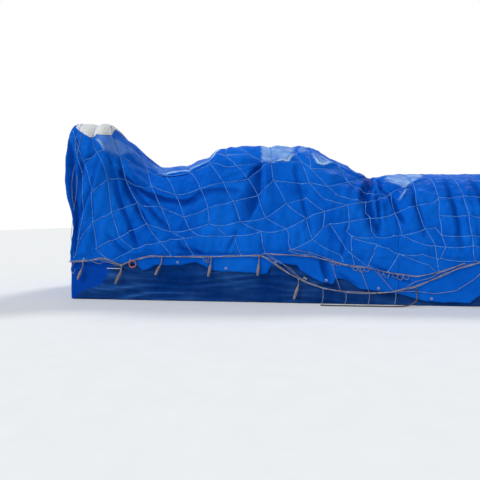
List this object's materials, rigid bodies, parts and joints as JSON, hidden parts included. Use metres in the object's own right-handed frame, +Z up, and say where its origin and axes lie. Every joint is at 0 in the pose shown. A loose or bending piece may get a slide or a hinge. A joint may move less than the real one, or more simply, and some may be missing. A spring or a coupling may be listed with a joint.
{
  "type": "sheeted steam turbine generator set",
  "caption": "Skid-mounted steam turbine, gearbox and generator, wrapped for storage in blue sheets under a slack rope net.",
  "frame": {"origin": "on the ground, under the middle of the set", "axes": "+X along the set from the steam end to the generator end, -Y the side with the tidy hem and the rope tails, +Z up"},
  "size_m": [8.7984, 2.8608, 3.4381],
  "materials": {
    "frame_paint": "satin enamel over rolled steel",
    "deck_steel": "worn deck paint",
    "cast_casing": "cast steel with heat resistant paint",
    "machine_paint": "machine enamel",
    "generator_paint": "machine enamel",
    "guard_paint": "safety enamel",
    "bright_steel": "machined steel",
    "cover_sheet": "woven polyethylene sheet, half gloss",
    "skirt_sheet": "woven polyethylene sheet, half gloss, darker",
    "bleached_sheet": "sun-bleached woven sheet, stained",
    "border_rope": "weathered laid rope",
    "tail_rope": "unlaid brown rope",
    "net_rope": "thin pale laid rope",
    "ring_paint": "orange paint, chipped"
  },
  "bodies": {
    "root": {"back_skirt": "skirt_sheet", "back_tail_1": "tail_rope", "back_tail_2": "tail_rope", "back_tail_3": "tail_rope", "border_rope_back": "border_rope", "border_rope_ends": "border_rope", "border_rope_front": "border_rope", "coupling_guards": "guard_paint", "cross_beams": "frame_paint", "deck_plate": "deck_steel", "exciter": "generator_paint", "exhaust_hood": "machine_paint", "fallen_rope": "tail_rope", "front_pedestal": "machine_paint", "front_skirt": "skirt_sheet", "front_tail_1": "tail_rope", "front_tail_2": "tail_rope", "front_tail_3": "tail_rope", "front_tail_4": "tail_rope", "front_tail_5": "tail_rope", "front_tail_6": "tail_rope", "gearbox_lower": "machine_paint", "gearbox_upper": "machine_paint", "generator_end_shields": "generator_paint", "generator_frame": "generator_paint", "generator_sheet": "cover_sheet", "generator_terminal_box": "generator_paint", "hood_sheet": "cover_sheet", "lashing_ring": "ring_paint", "left_curtain": "cover_sheet", "left_skirt": "skirt_sheet", "lifting_trunnions": "frame_paint", "long_beams": "frame_paint", "right_curtain": "cover_sheet", "right_skirt": "skirt_sheet", "rope_net": "net_rope", "steam_chest": "cast_casing", "steam_pipe": "machine_paint", "turbine_casing_lower": "cast_casing", "turbine_casing_upper": "cast_casing", "turbine_sheet": "cover_sheet", "upper_rope_front": "border_rope", "valve_actuators": "machine_paint", "valve_stands": "bright_steel", "white_sheet": "bleached_sheet"}
  },
  "joints": []
}
